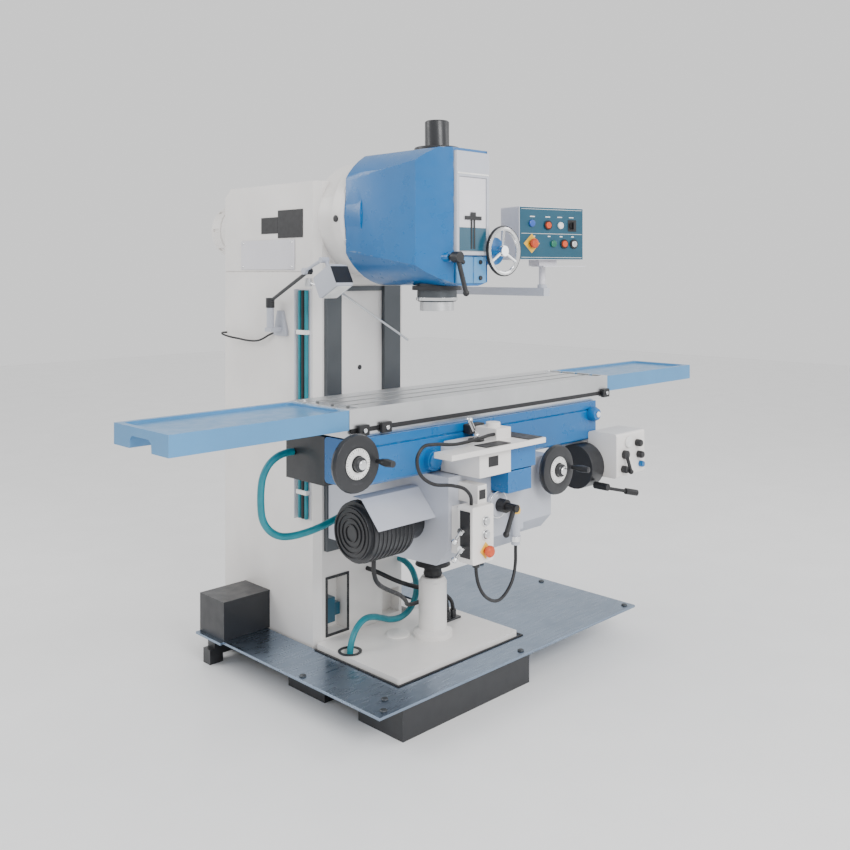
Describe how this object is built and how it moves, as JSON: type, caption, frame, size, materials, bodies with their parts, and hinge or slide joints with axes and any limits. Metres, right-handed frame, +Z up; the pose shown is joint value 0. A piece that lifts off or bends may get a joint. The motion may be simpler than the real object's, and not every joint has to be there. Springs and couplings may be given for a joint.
{
  "type": "vertical milling machine",
  "caption": "Vertical knee-type milling machine with tilting head, sliding knee, saddle and T-slot table, swinging control panel and work lamp.",
  "frame": {"origin": "on the floor, on the vertical spindle's axis", "axes": "+X along the table to the operator's right, +Y away from the operator, +Z up"},
  "size_m": [2.815, 1.6164, 2.165],
  "materials": {
    "white_paint": "semi-gloss enamel",
    "grey_paint": "semi-gloss enamel",
    "blue_paint": "gloss enamel",
    "pale_blue_paint": "semi-gloss enamel",
    "black_paint": "satin",
    "black_plastic": "matte",
    "cast_way": "ground",
    "steel": "ground",
    "plate_steel": "worn sheet",
    "chrome": "polished",
    "teal_hose": "satin",
    "black_cable": "matte",
    "navy_paint": "semi-gloss enamel",
    "red_plastic": "gloss",
    "lamp_alloy": "painted"
  },
  "bodies": {
    "root": {"base_plinth": "black_paint", "base_casting": "white_paint", "chip_tray": "plate_steel", "hose_gland": "black_paint", "column": "white_paint", "column_ways": "cast_way", "swivel_flange": "white_paint", "main_motor": "white_paint", "panel_arm_bracket": "white_paint", "lamp_bracket": "grey_paint", "drain_hose": "teal_hose", "base_power_hose": "black_cable", "lamp_cable": "black_cable"},
    "head": {"head_housing": "blue_paint", "head_front_plate": "grey_paint", "drawbar_cover": "black_paint"},
    "clamp_lever": {"quill_clamp_lever": "black_plastic"},
    "quill_wheel": {"quill_handwheel": "chrome"},
    "quill": {"quill": "cast_way"},
    "spindle": {"spindle": "steel"},
    "knee": {"knee": "grey_paint", "elevating_screw": "steel", "knee_apron": "blue_paint", "feed_motor": "black_paint", "feed_motor_cover": "grey_paint", "pendant_box": "white_paint", "pendant_cable": "black_cable", "motor_cable": "black_cable"},
    "start_button": {"pendant_start_button": "steel"},
    "stop_button": {"pendant_stop_button": "steel"},
    "pendant_stop": {"pendant_stop_mushroom": "red_plastic"},
    "upper_selector": {"feed_selector_lever_upper": "chrome"},
    "lower_selector": {"feed_selector_lever_lower": "chrome"},
    "crank": {"elevation_crank": "black_plastic"},
    "cross_wheel": {"cross_handwheel": "black_paint"},
    "saddle": {"saddle": "blue_paint", "saddle_end_cover": "black_paint", "operator_shelf": "white_paint", "feed_gearbox": "white_paint", "feed_shaft_guard": "black_paint", "coolant_return_hose": "teal_hose", "shelf_cable": "black_cable"},
    "feed_lever": {"table_feed_lever": "chrome"},
    "table_wheel": {"table_handwheel": "black_paint"},
    "shift_lever": {"gear_shift_lever": "black_plastic"},
    "rapid_lever": {"rapid_feed_lever": "black_plastic"},
    "lock_knob": {"table_lock_knob": "blue_paint"},
    "table": {"table": "steel", "left_tray": "pale_blue_paint", "right_tray": "pale_blue_paint"},
    "arm": {"panel_arm": "grey_paint"},
    "panel": {"control_panel": "navy_paint"},
    "panel_start": {"panel_start_button": "red_plastic"},
    "panel_jog": {"panel_jog_button": "red_plastic"},
    "panel_coolant": {"panel_coolant_button": "steel"},
    "panel_knob": {"panel_selector": "black_plastic"},
    "panel_stop": {"panel_emergency_stop": "red_plastic"},
    "lamp_arm": {"lamp_lower_arm": "lamp_alloy"},
    "lamp": {"work_lamp": "lamp_alloy"},
    "nozzle": {"coolant_nozzle": "steel"}
  },
  "joints": [
    {"name": "knee_elevation", "type": "slide", "parent": "root", "child": "knee", "axis": [0, 0, 1], "range_m": [-0.145, 0.185], "deforming": ["motor_cable"]},
    {"name": "saddle_cross", "type": "slide", "parent": "knee", "child": "saddle", "axis": [0, 1, 0], "range_m": [-0.098, 0.15], "deforming": ["coolant_return_hose", "shelf_cable"]},
    {"name": "table_traverse", "type": "slide", "parent": "saddle", "child": "table", "axis": [1, 0, 0], "range_m": [-0.46, 0.24]},
    {"name": "head_swivel", "type": "hinge", "parent": "root", "child": "head", "pos_m": [0, 0.29, 1.81], "axis": [0, 1, 0], "range_deg": [-45, 45]},
    {"name": "quill_feed", "type": "slide", "parent": "head", "child": "quill", "axis": [0, 0, -1], "range_m": [0, 0.08]},
    {"name": "spindle_spin", "type": "hinge", "parent": "quill", "child": "spindle", "pos_m": [0, 0, 1.5], "axis": [0, 0, 1], "continuous": true},
    {"name": "quill_wheel_turn", "type": "hinge", "parent": "head", "child": "quill_wheel", "pos_m": [0.15, -0.19, 1.675], "axis": [0, 1, 0], "continuous": true},
    {"name": "quill_clamp", "type": "hinge", "parent": "head", "child": "clamp_lever", "pos_m": [-0.107, -0.19, 1.65], "axis": [0, 1, 0], "range_deg": [-40, 40]},
    {"name": "crank_turn", "type": "hinge", "parent": "knee", "child": "crank", "pos_m": [0.034, -0.3, 0.762], "axis": [0, 1, 0], "continuous": true},
    {"name": "cross_wheel_turn", "type": "hinge", "parent": "knee", "child": "cross_wheel", "pos_m": [0.36, -0.3, 0.842], "axis": [0, 1, 0], "continuous": true},
    {"name": "table_wheel_turn", "type": "hinge", "parent": "saddle", "child": "table_wheel", "pos_m": [-0.578, -0.2, 0.985], "axis": [0, 1, 0], "continuous": true},
    {"name": "feed_selector_upper", "type": "hinge", "parent": "knee", "child": "upper_selector", "pos_m": [-0.215, -0.33, 0.724], "axis": [1, 0, 0], "range_deg": [-30, 30]},
    {"name": "feed_selector_lower", "type": "hinge", "parent": "knee", "child": "lower_selector", "pos_m": [-0.215, -0.33, 0.664], "axis": [1, 0, 0], "range_deg": [-30, 30]},
    {"name": "table_feed", "type": "hinge", "parent": "saddle", "child": "feed_lever", "pos_m": [-0.06, -0.252, 1.018], "axis": [0, 1, 0], "range_deg": [-25, 25]},
    {"name": "gear_shift", "type": "hinge", "parent": "saddle", "child": "shift_lever", "pos_m": [0.8, -0.31, 0.842], "axis": [0, 1, 0], "range_deg": [-35, 35]},
    {"name": "rapid_feed", "type": "hinge", "parent": "saddle", "child": "rapid_lever", "pos_m": [0.7, -0.26, 0.72], "axis": [0, 1, 0], "range_deg": [-20, 20]},
    {"name": "table_lock", "type": "hinge", "parent": "saddle", "child": "lock_knob", "pos_m": [0.765, -0.18, 1], "axis": [0, 1, 0], "range_deg": [-90, 90]},
    {"name": "arm_swing", "type": "hinge", "parent": "root", "child": "arm", "pos_m": [0.312, 0.52, 1.62], "axis": [0, 0, 1], "range_deg": [0, 60]},
    {"name": "panel_swivel", "type": "hinge", "parent": "arm", "child": "panel", "pos_m": [0.6, -0.03, 1.55], "axis": [0, 0, 1], "range_deg": [-60, 60]},
    {"name": "panel_start_press", "type": "slide", "parent": "panel", "child": "panel_start", "axis": [0.2588, 0.9659, 0], "range_m": [0, 0.003], "stiffness_N_per_m": 400, "springref_m": -0.004},
    {"name": "panel_jog_press", "type": "slide", "parent": "panel", "child": "panel_jog", "axis": [0.2588, 0.9659, 0], "range_m": [0, 0.003], "stiffness_N_per_m": 400, "springref_m": -0.004},
    {"name": "panel_coolant_press", "type": "slide", "parent": "panel", "child": "panel_coolant", "axis": [0.2588, 0.9659, 0], "range_m": [0, 0.003], "stiffness_N_per_m": 400, "springref_m": -0.004},
    {"name": "panel_stop_press", "type": "slide", "parent": "panel", "child": "panel_stop", "axis": [0.2588, 0.9659, 0], "range_m": [0, 0.005], "stiffness_N_per_m": 400, "springref_m": -0.004},
    {"name": "panel_selector_turn", "type": "hinge", "parent": "panel", "child": "panel_knob", "pos_m": [0.6835, -0.1201, 1.789], "axis": [0.2588, 0.9659, 0], "range_deg": [-45, 45]},
    {"name": "start_press", "type": "slide", "parent": "knee", "child": "start_button", "axis": [0, 1, 0], "range_m": [0, 0.003], "stiffness_N_per_m": 400, "springref_m": -0.004},
    {"name": "stop_press", "type": "slide", "parent": "knee", "child": "stop_button", "axis": [0, 1, 0], "range_m": [0, 0.003], "stiffness_N_per_m": 400, "springref_m": -0.004},
    {"name": "pendant_stop_press", "type": "slide", "parent": "knee", "child": "pendant_stop", "axis": [0, 1, 0], "range_m": [0, 0.005], "stiffness_N_per_m": 400, "springref_m": -0.004},
    {"name": "lamp_swivel", "type": "hinge", "parent": "root", "child": "lamp_arm", "pos_m": [-0.285, 0.665, 1.47], "axis": [0, 0, 1], "range_deg": [-75, 0]},
    {"name": "lamp_elbow", "type": "hinge", "parent": "lamp_arm", "child": "lamp", "pos_m": [-0.319, 0.372, 1.6], "axis": [1, 0, 0], "range_deg": [-25, 35]},
    {"name": "nozzle_swing", "type": "hinge", "parent": "root", "child": "nozzle", "pos_m": [-0.262, 0.445, 1.556], "axis": [0, 0, 1], "range_deg": [0, 20]}
  ],
  "couplings": [
    {"joint": "quill_wheel_turn", "follows": "quill_feed", "rad_per_m": 314.16},
    {"joint": "crank_turn", "follows": "knee_elevation", "rad_per_m": 1047.2},
    {"joint": "cross_wheel_turn", "follows": "saddle_cross", "rad_per_m": 1047.2},
    {"joint": "table_wheel_turn", "follows": "table_traverse", "rad_per_m": 1047.2}
  ]
}
